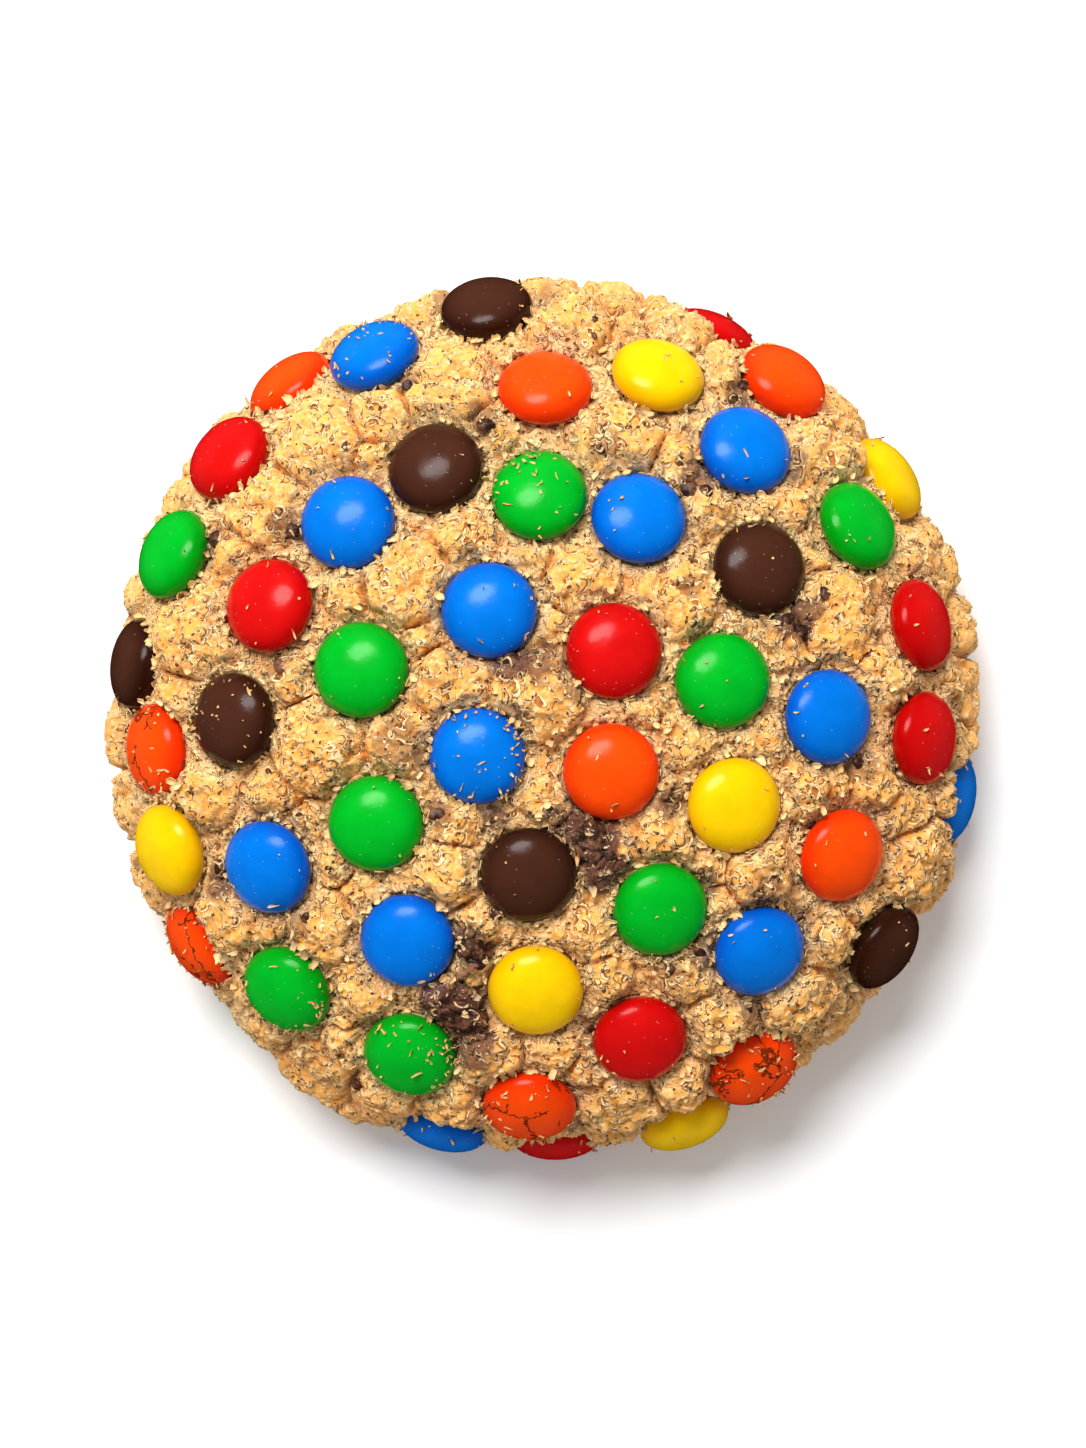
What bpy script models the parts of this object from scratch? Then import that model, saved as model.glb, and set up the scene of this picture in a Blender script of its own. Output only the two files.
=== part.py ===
"""A giant domed cookie, studded with sugar-coated chocolate buttons and a few chocolate chunks.

The cookie stands on its flat, baked underside at Z = 0, centred on the Z axis, seen in plan from +Z.
Lengths are in metres; MM turns a size in millimetres into metres.
"""

import math
import random

import bmesh
import bpy
import numpy as np
from mathutils import Matrix, Vector

MM = 0.001

# Section of the dough, before its lumps rise
WAIST_RADIUS = 62.2 * MM
WAIST_HEIGHT = 10.5 * MM
CROWN_RISE = 27.5 * MM
CROWN_POWER = 2.2
BASE_RADIUS = 55.0 * MM
SKIN_SUBDIVISIONS = 6
SKIN_KEPT = 0.165  # share of the fine skin's triangles left after thinning
FOOT_SNAP = 0.15 * MM
SECTION_STEPS = 160
UNDERSIDE_DENSITY = 0.15  # of the vertex density of the crown
DOUGH_OFFSET = (-0.3 * MM, 0.4 * MM)  # the baked dough spread a little further to one side

# Lumps of dough that fill the gaps between the buttons
LUMP_CANDIDATES = 5000
LUMP_LARGEST = 5.6 * MM
LUMP_SMALLEST = 2.2 * MM
LUMP_SPREAD = 1.3
LUMP_HEIGHT_SHARE = 0.75
LUMP_HIGHEST = 4.0 * MM
SKIRT_LUMP_HIGHEST = 1.8 * MM
SKIRT_TOP = 14.0 * MM  # lumps grow from the skirt height to full height between these
CROWN_FOOT = 24.0 * MM
LUMP_OVERLAP = 0.9
LUMP_UNEVENNESS = 0.25
FOOT_BLEND = 4.0 * MM
MOAT_WIDTH = 2.6 * MM  # of the dip in the dough round a button
MOAT_SHARE = 0.2  # of a lump's rise that is left at the button's rim

# Crease round the side, between the crown and the skirt below it
SEAM_HEIGHT = 17.0 * MM
SEAM_WIDTH = 2.6 * MM
SEAM_DEPTH = 1.3 * MM

# Moves the uneven cookie so that its overall box is centred on the Z axis
CENTRING = (0.484 * MM, 0.545 * MM, 0.0)

# A sugar-coated chocolate button, an oblate spheroid
BUTTON_RADIUS = 6.7 * MM
BUTTON_HALF_THICKNESS = 3.45 * MM
BUTTON_LATITUDES = (90, 60, 30, 0, -45, -90)
BUTTON_SIDES = 10
BUTTON_PROUD = 0.7 * MM
SOCKET_GAP = 0.4 * MM

# Colours as the photograph shows them, in linear light
DOUGH_COLOUR = (0.75, 0.44, 0.14)
CHOCOLATE_COLOUR = (0.060, 0.022, 0.013)
SHELL_COLOURS = {
    "blue": (0.0, 0.19, 0.80),
    "green": (0.001, 0.40, 0.008),
    "red": (0.62, 0.001, 0.001),
    "orange": (0.90, 0.032, 0.0),
    "yellow": (0.88, 0.48, 0.001),
    "brown": (0.041, 0.010, 0.004),
}

# Buttons on the crown: plan position of the centre, x and y in millimetres, then how far the
# button leans outward from lying flat, in degrees
CROWN_BUTTONS = {
    "blue": (
        (-24.1, 51.1, 50),
        (28.0, 37.3, 29),
        (-27.4, 27.0, 14),
        (12.9, 27.4, 22),
        (-7.7, 14.7, 5),
        (39.3, 0.0, 26),
        (-9.3, -5.4, 4),
        (-38.6, -20.9, 30),
        (-19.1, -31.0, 18),
        (29.9, -32.6, 29),
    ),
    "green": (
        (-0.8, 30.6, 21),
        (43.9, 26.8, 47),
        (-52.7, 23.1, 52),
        (-25.4, 6.5, 10),
        (24.5, 5.0, 8),
        (-23.4, -14.7, 8),
        (15.9, -26.6, 18),
        (-36.3, -38.3, 38),
        (-19.0, -47.4, 33),
    ),
    "red": (
        (-44.8, 36.7, 45),
        (-38.3, 15.5, 27),
        (9.5, 9.1, 4),
        (53.0, 13.0, 58),
        (53.4, -3.0, 52),
        (13.3, -45.1, 27),
    ),
    "orange": (
        (0.0, 45.8, 42),
        (33.9, 47.7, 50),
        (9.1, -7.5, 4),
        (41.4, -19.3, 34),
        (29.7, -49.8, 44),
        (-2.2, -54.9, 46),
    ),
    "yellow": (
        (15.8, 47.9, 45),
        (26.1, -12.2, 16),
        (-1.3, -37.9, 21),
        (-53.1, -18.8, 50),
    ),
    "brown": (
        (-8.3, 58.0, 51),
        (-15.2, 34.5, 21),
        (29.7, 20.6, 18),
        (-43.3, -0.4, 32),
        (-2.3, -21.7, 12),
        (48.2, -32.7, 60),
    ),
}

# Buttons on the side: direction round the cookie from +X in degrees, height and distance of the
# centre from the axis in millimetres, then the lean in degrees
SIDE_BUTTONS = {
    "blue": ((-104.0, 10.5, 61.8, 72), (-11.3, 11.0, 60.6, 70)),
    "green": ((-135.5, 8.4, 58.9, 78),),
    "red": ((-88.4, 8.8, 61.6, 74), (66.2, 9.5, 61.2, 78)),
    "orange": ((-146.7, 16.5, 59.6, 60), (184.8, 22.0, 55.8, 55), (127.6, 15.2, 60.7, 66)),
    "yellow": ((-71.0, 12.5, 62.5, 66), (34.9, 15.6, 60.4, 62)),
    "brown": ((172.6, 17.6, 59.5, 67),),
}

# Chocolate chunks: x and y in millimetres, length, width and thickness in millimetres, then the
# direction the length points in plan, in degrees from +X
CHUNKS = (
    (7.0, -18.0, 8.6, 5.6, 4.8, -58),
    (-12.1, -40.9, 9.4, 4.6, 4.8, -38),
    (-10.0, -32.2, 5.4, 3.8, 4.0, -60),
    (33.9, 12.2, 6.2, 3.2, 3.6, -14),
)
CHUNK_SQUARENESS = 0.62
CHUNK_ROUGHNESS = 0.10
CHUNK_DEPTH = 0.6 * MM


def section_outline():
    """Radius, height and outward normal along the section, from the top centre to the base centre."""
    turn = np.linspace(0.0, math.pi / 2, SECTION_STEPS)
    crown_r = WAIST_RADIUS * np.sin(turn) ** (2 / CROWN_POWER)
    crown_z = WAIST_HEIGHT + CROWN_RISE * np.cos(turn)
    tuck_r = BASE_RADIUS + (WAIST_RADIUS - BASE_RADIUS) * np.cos(turn)
    tuck_z = WAIST_HEIGHT * (1 - np.sin(turn))
    floor_r = np.linspace(BASE_RADIUS, 0.0, SECTION_STEPS)
    radius = np.concatenate([crown_r, tuck_r[1:], floor_r[1:]])
    height = np.concatenate([crown_z, tuck_z[1:], np.zeros(SECTION_STEPS - 1)])
    along = np.stack([np.gradient(radius), np.gradient(height)])
    along /= np.linalg.norm(along, axis=0)
    return radius, height, -along[1], along[0]


def skin_points(directions):
    """Points and normals of the lump-free dough for unit directions, spread by area, the base sparser."""
    radius, height, normal_r, normal_z = section_outline()
    strips = (radius[1:] + radius[:-1]) * np.hypot(np.diff(radius), np.diff(height))
    strips[height[1:] <= 0] *= UNDERSIDE_DENSITY
    share = np.concatenate([[0.0], np.cumsum(strips) / strips.sum()])
    wanted = (1 - directions[:, 2]) / 2
    plan = directions[:, :2] / np.maximum(np.linalg.norm(directions[:, :2], axis=1, keepdims=True), 1e-9)
    r, z, nr, nz = (np.interp(wanted, share, values) for values in (radius, height, normal_r, normal_z))
    points = np.column_stack([plan * r[:, None] + DOUGH_OFFSET, z])
    normals = np.column_stack([plan * nr[:, None], nz])
    return points, normals / np.linalg.norm(normals, axis=1, keepdims=True)


def crown_height(x, y):
    """Height of the lump-free crown at a place in plan."""
    radius = math.hypot(x - DOUGH_OFFSET[0], y - DOUGH_OFFSET[1])
    return WAIST_HEIGHT + CROWN_RISE * math.sqrt(max(0.0, 1 - (radius / WAIST_RADIUS) ** CROWN_POWER))


def leaning_axis(direction, lean):
    """Unit vector that leans outward from +Z by lean, towards direction, both in radians."""
    out = math.sin(lean)
    return Vector((out * math.cos(direction), out * math.sin(direction), math.cos(lean)))


def button_places():
    """Name, colour, centre and flat axis of every button."""
    places = []
    for colour in SHELL_COLOURS:
        found = []
        for x, y, lean in CROWN_BUTTONS.get(colour, ()):
            axis = leaning_axis(math.atan2(y, x), math.radians(lean))
            seat = Vector((x * MM, y * MM, crown_height(x * MM, y * MM)))
            found.append((seat + axis * BUTTON_PROUD, axis))
        for angle, height, distance, lean in SIDE_BUTTONS.get(colour, ()):
            turn = math.radians(angle)
            centre = Vector((distance * math.cos(turn), distance * math.sin(turn), height)) * MM
            found.append((centre, leaning_axis(turn, math.radians(lean))))
        for number, (centre, axis) in enumerate(found, 1):
            places.append((f"button_{colour}_{number:02d}", colour, centre, axis))
    return places


def spread_directions(count):
    """Unit directions spread evenly over a sphere along a spiral."""
    step = np.arange(count) + 0.5
    z = 1 - 2 * step / count
    turn = math.pi * (1 + math.sqrt(5)) * step
    flat = np.sqrt(1 - z * z)
    return np.column_stack([flat * np.cos(turn), flat * np.sin(turn), z])


def gap_lumps(centres):
    """Centres, radii and heights of the lumps; the widest gap between the buttons is filled first."""
    points, _ = skin_points(spread_directions(LUMP_CANDIDATES))
    points = points[points[:, 2] > FOOT_BLEND / 2]
    room = np.linalg.norm(points[:, None] - centres[None], axis=2).min(axis=1) - BUTTON_RADIUS
    draw = random.Random(7)
    lumps = []
    while True:
        place = int(room.argmax())
        radius = min(room[place], LUMP_LARGEST)
        if radius < LUMP_SMALLEST:
            break
        limits = (SKIRT_LUMP_HIGHEST, LUMP_HIGHEST)
        height = min(radius * LUMP_HEIGHT_SHARE, np.interp(points[place, 2], (SKIRT_TOP, CROWN_FOOT), limits))
        height *= 1 + LUMP_UNEVENNESS * draw.uniform(-1, 1)
        lumps.append((*points[place], radius * LUMP_SPREAD, height))
        room = np.minimum(room, np.linalg.norm(points - points[place], axis=1) - radius * LUMP_OVERLAP)
    lumps = np.array(lumps)
    return lumps[:, :3], lumps[:, 3], lumps[:, 4]


def skin_rise(points, lumps, buttons):
    """How far each point of the skin is lifted: by the lumps, less beside a button and in the seam."""
    centres, radii, heights = lumps
    distance = np.linalg.norm(points[:, None] - centres[None], axis=2)
    dome = np.sqrt(np.clip(1 - (distance / radii) ** 2, 0, 1)) * heights
    room = np.linalg.norm(points[:, None] - buttons[None], axis=2).min(axis=1) - BUTTON_RADIUS
    kept = np.clip(MOAT_SHARE + room / MOAT_WIDTH, MOAT_SHARE, 1)
    seam = SEAM_DEPTH * np.exp(-(((points[:, 2] - SEAM_HEIGHT) / SEAM_WIDTH) ** 2))
    foot = np.clip(points[:, 2] / FOOT_BLEND, 0, 1)
    return (dome.max(axis=1) * kept - seam) * foot


def material(name, colour, roughness):
    """A plain Principled material."""
    made = bpy.data.materials.new(name)
    made.use_nodes = True
    shader = made.node_tree.nodes["Principled BSDF"]
    shader.inputs["Base Color"].default_value = (*colour, 1.0)
    shader.inputs["Roughness"].default_value = roughness
    return made


def new_object(name, mesh, collection):
    made = bpy.data.objects.new(name, mesh)
    collection.objects.link(made)
    return made


def make_dough(buttons, collection):
    """The baked dough: one skin with its lumps, flat underneath. buttons are their centres."""
    bpy.ops.mesh.primitive_ico_sphere_add(subdivisions=SKIN_SUBDIVISIONS, radius=1.0)
    ball = bpy.context.object
    directions = np.array([v.co.normalized() for v in ball.data.vertices])
    points, normals = skin_points(directions)
    points += normals * skin_rise(points, gap_lumps(buttons), buttons)[:, None]
    ball.data.vertices.foreach_set("co", points.ravel())
    thin = ball.modifiers.new("thin", "DECIMATE")
    thin.ratio = SKIN_KEPT
    mesh = evaluated_mesh(ball, "dough")
    flatten_base(mesh)
    dough = new_object("dough", mesh, collection)
    mesh.materials.append(material("dough", DOUGH_COLOUR, 0.85))
    return dough


def evaluated_mesh(piece, name):
    """The mesh of a piece after its modifiers; the piece itself is removed."""
    mesh = bpy.data.meshes.new_from_object(piece.evaluated_get(bpy.context.evaluated_depsgraph_get()))
    mesh.name = name
    bpy.data.objects.remove(piece)
    return mesh


def flatten_base(mesh):
    """Lays the underside exactly on Z = 0 and merges it into one face."""
    bm = bmesh.new()
    bm.from_mesh(mesh)
    for vertex in bm.verts:
        if vertex.co.z < FOOT_SNAP:
            vertex.co.z = 0.0
    under = [f for f in bm.faces if all(v.co.z == 0.0 for v in f.verts)]
    bmesh.ops.dissolve_faces(bm, faces=under)
    bmesh.ops.recalc_face_normals(bm, faces=bm.faces)
    bm.to_mesh(mesh)
    bm.free()


def button_mesh():
    """One button as a turned profile: rings at named latitudes, from the top pole to the bottom."""
    half = bpy.data.meshes.new("button_profile")
    angles = [math.radians(latitude) for latitude in BUTTON_LATITUDES]
    profile = [(BUTTON_RADIUS * math.cos(a), 0.0, BUTTON_HALF_THICKNESS * math.sin(a)) for a in angles]
    half.from_pydata(profile, [(i, i + 1) for i in range(len(profile) - 1)], [])
    turned = new_object("button_turned", half, bpy.context.scene.collection)
    screw = turned.modifiers.new("turn", "SCREW")
    screw.steps = screw.render_steps = BUTTON_SIDES
    screw.use_merge_vertices = True
    screw.merge_threshold = 0.0001
    mesh = evaluated_mesh(turned, "button")
    mesh.shade_smooth()
    return mesh


def axis_matrix(centre, axis, heading=0.0):
    """Places a piece at centre, its own Z along axis and its X turned to heading, seen in plan."""
    across = axis.cross(Vector((math.cos(heading), math.sin(heading), 0.0))).normalized()
    turn = Matrix((across.cross(axis), across, axis)).transposed().to_4x4()
    return Matrix.Translation(centre) @ turn


def make_buttons(places, collection, sockets):
    """The buttons, and a slightly larger copy of each that cuts its socket."""
    shape = button_mesh()
    shells = {colour: material(f"shell_{colour}", rgb, 0.22) for colour, rgb in SHELL_COLOURS.items()}
    wide = (BUTTON_RADIUS + SOCKET_GAP) / BUTTON_RADIUS
    thick = (BUTTON_HALF_THICKNESS + SOCKET_GAP) / BUTTON_HALF_THICKNESS
    buttons = []
    for name, colour, centre, axis in places:
        mesh = shape.copy()
        mesh.materials.append(shells[colour])
        button = new_object(name, mesh, collection)
        button.matrix_world = axis_matrix(centre, axis)
        buttons.append(button)
        cutter = new_object(f"socket_{name}", shape, sockets)
        cutter.matrix_world = button.matrix_world @ Matrix.Diagonal((wide, wide, thick, 1.0))
    return buttons


def chunk_mesh(number, length, width, thickness):
    """A broken lump of chocolate: a ball squared off, then roughened by a seeded draw."""
    bpy.ops.mesh.primitive_ico_sphere_add(subdivisions=2, radius=1.0)
    ball = bpy.context.object
    mesh = ball.data
    mesh.name = f"chunk_{number}"
    draw = random.Random(number)
    half = Vector((length, width, thickness)) * (MM / 2)
    for vertex in mesh.vertices:
        squared = [math.copysign(abs(c) ** CHUNK_SQUARENESS, c) for c in vertex.co.normalized()]
        reach = 1 + CHUNK_ROUGHNESS * draw.uniform(-1, 1)
        vertex.co = Vector([c * h * reach for c, h in zip(squared, half)])
    bpy.data.objects.remove(ball)
    return mesh


def make_chunks(collection, sockets):
    """The chocolate chunks, half sunk in the dough, and the cutters of their sockets."""
    chocolate = material("chocolate", CHOCOLATE_COLOUR, 0.5)
    chunks = []
    for number, (x, y, length, width, thickness, heading) in enumerate(CHUNKS, 1):
        place = Vector((x, y)) * MM
        step = place.normalized() * MM
        slope = math.atan2(crown_height(*(place - step)) - crown_height(*(place + step)), 2 * MM)
        axis = leaning_axis(math.atan2(y, x), slope)
        seat = Vector((*place, crown_height(*place)))
        mesh = chunk_mesh(number, length, width, thickness)
        mesh.materials.append(chocolate)
        chunk = new_object(f"chocolate_chunk_{number}", mesh, collection)
        chunk.matrix_world = axis_matrix(seat + axis * CHUNK_DEPTH, axis, math.radians(heading))
        chunks.append(chunk)
        grown = [1 + 2 * SOCKET_GAP / (size * MM) for size in (length, width, thickness)]
        cutter = new_object(f"socket_chunk_{number}", mesh, sockets)
        cutter.matrix_world = chunk.matrix_world @ Matrix.Diagonal((*grown, 1.0))
    return chunks


def cut_sockets(dough, sockets):
    """Opens a socket in the dough for every button and chunk."""
    for cutter in sockets.objects:
        cutter.hide_render = True
        cutter.display_type = "WIRE"
    cut = dough.modifiers.new("sockets", "BOOLEAN")
    cut.operation = "DIFFERENCE"
    cut.operand_type = "COLLECTION"
    cut.collection = sockets
    cut.solver = "EXACT"


def main():
    for old in list(bpy.data.objects):
        bpy.data.objects.remove(old)
    cookie = bpy.data.collections.new("giant_cookie")
    sockets = bpy.data.collections.new("sockets")
    for collection in (cookie, sockets):
        bpy.context.scene.collection.children.link(collection)
    places = button_places()
    dough = make_dough(np.array([centre for _, _, centre, _ in places]), cookie)
    pieces = make_buttons(places, cookie, sockets) + make_chunks(cookie, sockets)
    cut_sockets(dough, sockets)
    whole = new_object("cookie", None, cookie)
    for piece in [dough, *pieces, *sockets.objects]:
        piece.parent = whole
    whole.location = CENTRING


main()
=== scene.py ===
"""The looks of the giant cookie: its crumbly dough, glossy sugar-shelled buttons and chocolate.

Sizes are millimetres in the CAD model's frame, but for lamps and floor; mesh_piece makes them metres.
"""

import itertools
import math
import random

import bmesh
import bpy
import numpy as np
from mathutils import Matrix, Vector


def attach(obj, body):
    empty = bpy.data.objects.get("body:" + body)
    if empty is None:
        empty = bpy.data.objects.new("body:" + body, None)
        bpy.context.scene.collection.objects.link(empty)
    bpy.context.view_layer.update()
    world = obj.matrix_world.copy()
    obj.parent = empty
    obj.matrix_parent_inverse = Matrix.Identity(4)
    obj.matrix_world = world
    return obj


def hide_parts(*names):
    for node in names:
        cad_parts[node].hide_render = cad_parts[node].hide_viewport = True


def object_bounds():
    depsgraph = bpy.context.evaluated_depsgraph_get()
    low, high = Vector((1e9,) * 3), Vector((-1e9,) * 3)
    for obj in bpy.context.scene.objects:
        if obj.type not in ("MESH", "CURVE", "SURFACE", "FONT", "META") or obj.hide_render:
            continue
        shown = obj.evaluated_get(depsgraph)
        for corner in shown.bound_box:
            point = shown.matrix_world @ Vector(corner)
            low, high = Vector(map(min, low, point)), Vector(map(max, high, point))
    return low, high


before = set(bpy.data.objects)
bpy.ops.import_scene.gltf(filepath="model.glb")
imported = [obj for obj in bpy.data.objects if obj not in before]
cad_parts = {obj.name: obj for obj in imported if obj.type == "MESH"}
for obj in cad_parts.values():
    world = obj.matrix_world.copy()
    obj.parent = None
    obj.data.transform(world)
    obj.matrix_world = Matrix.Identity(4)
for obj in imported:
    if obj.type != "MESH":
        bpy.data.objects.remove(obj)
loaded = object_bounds()

MM = 0.001

# How an integer cell becomes a draw
CELL_PRIMES = (73856093, 19349663, 83492791)
SEED_PRIME = 2654435761
CHANNEL_PRIME = 40503
DRAW_START = 12345
DRAW_STEPS = ((15, 2246822519), (13, 3266489917), (16, 1))
DRAW_BITS = 24

# The photograph's frame and the view from straight above
PHOTO_HEIGHT_PX = 1448
FOCAL_LENGTH_PX = 3258
SENSOR_HEIGHT = 36.0
CAMERA_HEIGHT = 488.5
CAMERA_AIM = (0.204, -0.423)
CLIP_START = 10.0

# The dough's section and lumps, as in the solid model; CENTRING moves them into its frame
CENTRING = np.array([0.484, 0.545, 0.0])
DOUGH_OFFSET = (-0.3, 0.4)
WAIST_RADIUS = 62.2
WAIST_HEIGHT = 10.5
CROWN_RISE = 27.5
CROWN_POWER = 2.2
BASE_RADIUS = 55.0
SECTION_STEPS = 160
LUMP_CANDIDATES = 5000
LUMP_SEED = 7
LUMP_LARGEST = 5.6
LUMP_SMALLEST = 2.2
LUMP_SPREAD = 1.3
LUMP_HEIGHT_SHARE = 0.75
LUMP_HIGHEST = 4.0
SKIRT_LUMP_HIGHEST = 1.8
SKIRT_TOP = 14.0
CROWN_FOOT = 24.0
LUMP_OVERLAP = 0.9
LUMP_UNEVENNESS = 0.25
FOOT_BLEND = 4.0
MOAT_WIDTH = 2.6
MOAT_SHARE = 0.2
FARTHEST_SQUARED = 99.0
SEAM_HEIGHT = 17.0
SEAM_WIDTH = 2.6
SEAM_DEPTH = 1.3
CAD_UNDERSIDE_DENSITY = 0.15
BUTTON_RADIUS = 6.7
HALF_THICKNESS = 3.45
OUTWARD_LIFT = 30.0

# Finer relief of the crumb
SKIN_GRID = 285
UNDERSIDE_GRID = 50
UNDERSIDE_DENSITY = 0.02
DRIFT_SIZE = 2.6
DRIFT_SEEDS = (1, 2, 3)
NODULE_SIZE = 4.2
NODULE_FILL = 0.66
NODULE_HEIGHT = 1.15
NODULE_DRIFT = 2.2
NODULE_SEED = 11
KNOB_SIZE = 1.6
KNOB_FILL = 0.72
KNOB_HEIGHT = 0.22
KNOB_DRIFT = 1.0
KNOB_SEED = 12
DOME_MEAN = 0.6
CREASE_WIDTH = 0.5
CREASE_DEPTH = 1.6
CLEFT_WIDTH = 0.35
CLEFT_DEPTH = 1.0
PETAL_COUNT = 19000
PETAL_RADIUS = 0.90
PETAL_SCATTER = 0.35
PETAL_REACH = 10
PETAL_SEED = 5
PETAL_FACING = 0.45
PETAL_SKIRT_TOP = 16.0
PETAL_SKIRT_FADE = 4.0
BARE_LEVEL = -0.4
BARE_FIELDS = (0.0, -1.0, 0.5, 0.0)
PLAIN_SHARE = 0.55
BROAD_REACH = 14
FINE_REACH = 3
HIDDEN_GAP = -0.2
NEARLY_UP = (0.02, 0.01, 1.0)
ASLANT = (0.3, 0.9, 0.1)

# Fields of colour on the dough
PATCH_SIZE = 7.0
PATCH_SEED = 41
FLECK_SIZE = 1.4
FLECK_SEED = 42
STAIN_GRAIN = 1.3
STAIN_SEED = 43
STAIN_LOWEST = 12.0
BUTTON_TINT_REACH = 2.2
BUTTON_TINT_SHARE = 0.12

# Flakes, and crumbs on the shells: most lie near where they fell from, some FAR times as far
FLAKE_ROWS = 4
FRINGE_FLAKES = 50
FRINGE_GAP = 0.13
FRINGE_SEED = 8
LOOSE_FLAKES = 500
LOOSE_GAP = 0.12
LOOSE_LOWEST = 18.0
LOOSE_SEED = 9
CRUMB_ROWS = 3
CRUMB_SEED = 10
DUSTY_CRUMBS = 46
CLEAN_CRUMBS = 5
FAR = (1, 3)
FAR_ODDS = (0.7, 0.3)
SHELL_CLEARANCE = (1.035, 1.005)

# Shells, chunks and chips
SHELL_SIDES = 44
SHELL_RINGS = 18
CHUNK_LEVELS = 3
CHUNK_GRAIN = 1.3
CHUNK_PITS = 0.5
CHUNK_SEED = 51
CHUNK_CHANNEL = 5
CHIP_STRETCH = 1.1
CHIP_FLATNESS = 0.6
CHIP_LUMPS = 0.9
CHIP_FORM_SEED = 61
CHIP_SEED = 11
OVERHANG_PENALTY = 9.0

# Light; lamps and floor in metres
LAMP_DISTANCE = 1.6
SOFTBOX_FROM = (-0.23, 0.50, 0.83)
SOFTBOX_SIZE = (1.0, 0.66)
SOFTBOX_POWER = 29.5
FILL_FROM = (-0.10, 0.90, 0.42)
FILL_SIZE = (1.2, 0.8)
FILL_POWER = 6.3
SURROUND_STRENGTH = 0.46
FLOOR_SIZE = 6.0
FLOOR_DROP = 0.0001
FLOOR_GLOW = 0.02

# Curls of the crumb: where each layer's pattern starts and its curls per mm; radii as shares of the spacing
CURLS = ((0.0, 0.36), (31.0, 0.50), (57.0, 0.75))
CURL_RADIUS = 0.18
CURL_SPREAD = 0.32
PORE_SPREAD = 0.21

# Linear colours; the fold and curl shadows and SHADED multiply the dough's own
GOLDEN = (0.95, 0.39, 0.058)
PALE = (0.95, 0.465, 0.100)
CREAM = (0.97, 0.68, 0.34)
# Painted shade: the darker orange of the crumb in the gaps between its nodules
NODULE_GAP_SHADE = (0.66, 0.31, 0.065)
BROWNED = (0.84, 0.31, 0.045)
# Painted shade in the valleys and creases between the lumps
VALLEY_SHADE = (0.44, 0.25, 0.11)
SKIRT = (0.72, 0.36, 0.105)
SEAM_BROWN = (0.30, 0.12, 0.04)
SHADED = np.array([0.74, 0.47, 0.22])
STAIN = (0.145, 0.056, 0.036)
# Painted highlight on the raised ridges and lips of the crumb and on the tips and edges of flakes
RIDGE_HIGHLIGHT = (0.97, 0.71, 0.38)
# Painted shade in the crevices between petals
CREVICE_SHADE = (0.38, 0.19, 0.07)
PORE = (0.095, 0.028, 0.007)
GLINT = (0.98, 0.90, 0.70)
CRACK = (0.16, 0.022, 0.004)
# Painted shadow in the grooves beside the folds and inside the curls
FOLD_SHADOW = (0.66, 0.42, 0.20)
CURL_SHADOW = (0.48, 0.27, 0.11)
CHOCOLATE = (0.030, 0.010, 0.005)
CHOCOLATE_SMEAR = (0.19, 0.072, 0.034)
BRIGHTNESS = (0.3, 0.6, 0.1)
WHITE = (1.0, 1.0, 1.0, 1.0)
PAPER = (0.94, 0.94, 0.94, 1.0)
SHELLS = {
    "blue": (0.0, 0.140, 0.62),
    "green": (0.0, 0.378, 0.013),
    "red": (0.57, 0.003, 0.0028),
    "orange": (0.90, 0.055, 0.0010),
    "yellow": (0.92, 0.54, 0.0004),
    "brown": (0.048, 0.0138, 0.0068),
}

# Buttons whose shell broke in the oven
CRACKED = ("orange_05", "orange_06", "orange_07", "orange_08")

# Buttons that most of the loose crumb has fallen on
DUSTY = ("blue_01", "blue_07", "green_01", "green_08", "green_09", "brown_04", *CRACKED)

# Where the skirt swells out or draws in: direction in degrees, half width in degrees and mm outwards
SWELLS = ((-122, 15, 1.5), (112, 9, -1.1), (170, 14, -1.1), (-30, 6, -1.3))
SWELL_TOP = 20.0
SWELL_FADE = 6.0

# Where chocolate has melted into the crumb: x, y, radius and strength
STAINS = (
    (5.9, -17.2, 6, 1), (3.6, -15, 4.5, 1), (8.4, -21, 4, 1), (-12.6, -40, 6, 1),
    (-10.2, -44.7, 4, 0.9), (-10, -31.5, 3.6, 0.9), (33.3, 12.7, 3.8, 0.9), (35.8, 14.7, 2.6, 0.8),
    (-0.7, 7.5, 3.6, 0.8), (-4.6, 7, 3, 0.9), (3.8, 3.8, 2.4, 0.6), (-4.2, 0.7, 2.5, 0.6),
    (-8.3, 40.8, 2.6, 0.7), (21.3, 33.4, 3.4, 0.8), (28, 46.4, 3, 0.8), (-35.7, 26, 2.8, 0.7),
    (-46.4, 24.8, 2.8, 0.7), (34.8, 35.4, 2.4, 0.7), (7.7, 37.2, 2.6, 0.6), (21.7, -22.8, 2.8, 0.8),
    (30.3, -23.3, 3.2, 0.7), (-45.2, -22.8, 3.2, 0.8), (-19.6, -3.5, 4, 0.6), (-33.4, -28, 2.2, 0.6),
    (-15.1, -13.4, 2.6, 0.7), (-7.1, -14.3, 2.6, 0.8), (17.3, -11.6, 2.8, 0.8), (21.5, -32.7, 2.4, 0.8),
    (17.3, -35.2, 2.4, 0.6), (28.7, -41.1, 2.4, 0.7), (44.2, -6.6, 2.6, 0.6), (36.1, -28.4, 2, 0.7),
    (20.3, 17.8, 2, 0.6), (-18.9, 47.1, 2.6, 0.7), (-36.9, 7.1, 2.8, 0.6), (-36.2, -31.5, 2.2, 0.6),
    (6.6, -43.9, 2, 0.7), (0.6, 59, 3, 0.5), (-14, 58.8, 2.6, 0.6),
)

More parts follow.
